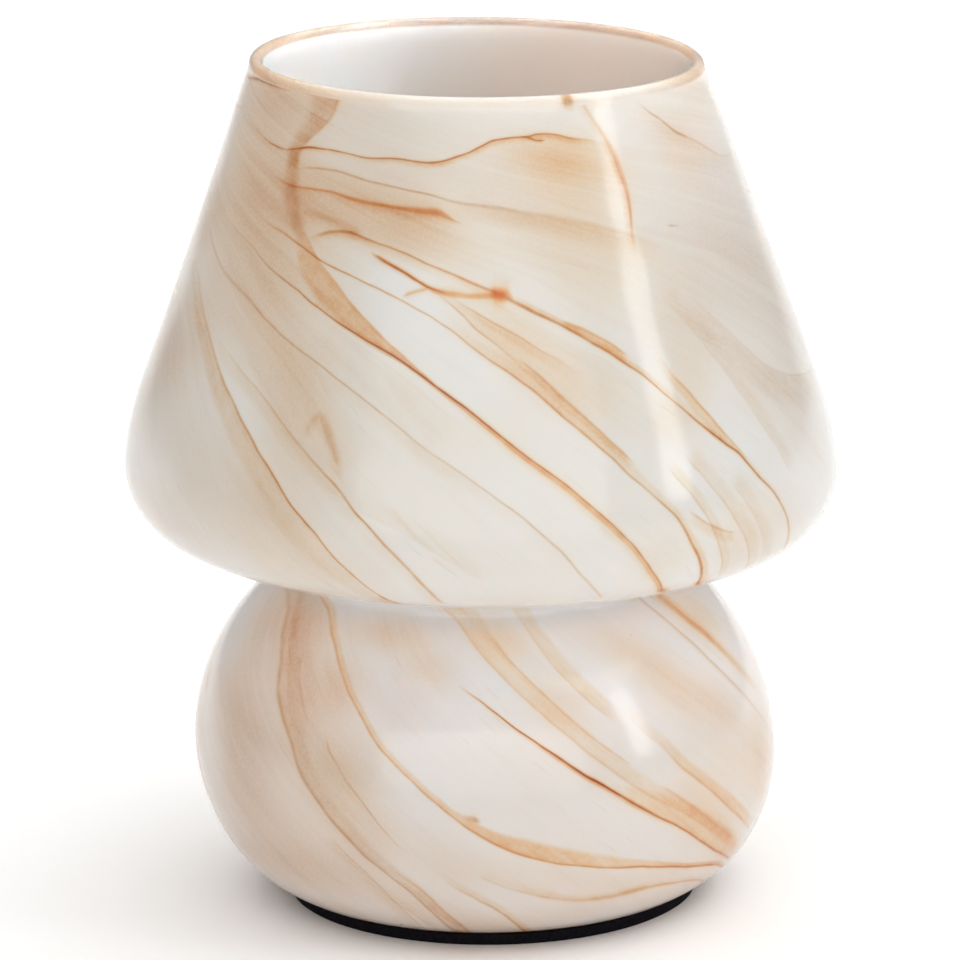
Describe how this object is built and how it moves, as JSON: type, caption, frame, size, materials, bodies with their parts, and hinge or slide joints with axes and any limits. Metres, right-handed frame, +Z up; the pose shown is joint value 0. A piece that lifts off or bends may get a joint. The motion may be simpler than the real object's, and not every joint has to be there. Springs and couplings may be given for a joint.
{
  "type": "glass table lamp",
  "caption": "Table lamp blown in one piece of swirled white glass: open cone shade, pinched waist, round base on a foot pad, with a screw-in bulb inside.",
  "frame": {"origin": "centre of the surface that the lamp stands on, on the glass's axis", "axes": "+Z up along the glass's axis; -Y is the front shown in the picture, and the cord inlet is at the back, +Y"},
  "size_m": [0.2004, 0.2004, 0.24],
  "materials": {
    "swirled_glass": "polished opal glass with amber swirls",
    "black_foam": "matt closed-cell foam",
    "plated_steel": "zinc plated",
    "spring_steel": "satin",
    "rivet_aluminium": "satin",
    "clear_rubber": "smooth, slightly milky",
    "stem_steel": "yellow-zinc plated",
    "holder_plastic": "moulded, satin",
    "insert_plastic": "moulded, matt",
    "screw_steel": "zinc plated",
    "contact_brass": "bare",
    "bulb_solder": "dull solder",
    "bulb_black_glass": "glossy black",
    "bulb_nickel": "nickel plated",
    "bulb_glass": "clear",
    "filament_phosphor": "yellow silicone",
    "bulb_wire": "bare nickel wire",
    "driver_board": "circuit board"
  },
  "bodies": {
    "lamp": {"glass_body": "swirled_glass", "foot_pad": "black_foam", "base_plate": "plated_steel", "spring_clips": "spring_steel", "clip_rivets": "rivet_aluminium", "clip_sleeves": "clear_rubber", "cord_grommet": "clear_rubber", "stem_tube": "stem_steel", "stem_nuts": "stem_steel", "plain_washer": "plated_steel", "lock_washer": "spring_steel", "holder_cap": "holder_plastic", "cap_set_screw": "screw_steel", "holder_insert": "insert_plastic", "terminals": "contact_brass", "terminal_screws": "screw_steel", "centre_contact": "contact_brass", "shell_contact": "contact_brass", "thread_shell": "contact_brass", "holder_skirt": "holder_plastic"},
    "bulb_carrier": {"bulb_tip": "bulb_solder"},
    "bulb": {"bulb_insulator": "bulb_black_glass", "bulb_cap": "bulb_nickel", "bulb_envelope": "bulb_glass", "bulb_stem": "bulb_glass", "bulb_filaments": "filament_phosphor", "bulb_wires": "bulb_wire", "bulb_driver": "driver_board"}
  },
  "joints": [
    {"name": "bulb_rise", "type": "slide", "parent": "lamp", "child": "bulb_carrier", "axis": [0, 0, 1], "range_m": [0, 0.0114]},
    {"name": "bulb_turn", "type": "hinge", "parent": "bulb_carrier", "child": "bulb", "pos_m": [0, 0, 0.1], "axis": [0, 0, 1], "range_deg": [0, 1440]}
  ],
  "couplings": [
    {"joint": "bulb_rise", "follows": "bulb_turn", "m_per_rad": 0.00044914}
  ]
}
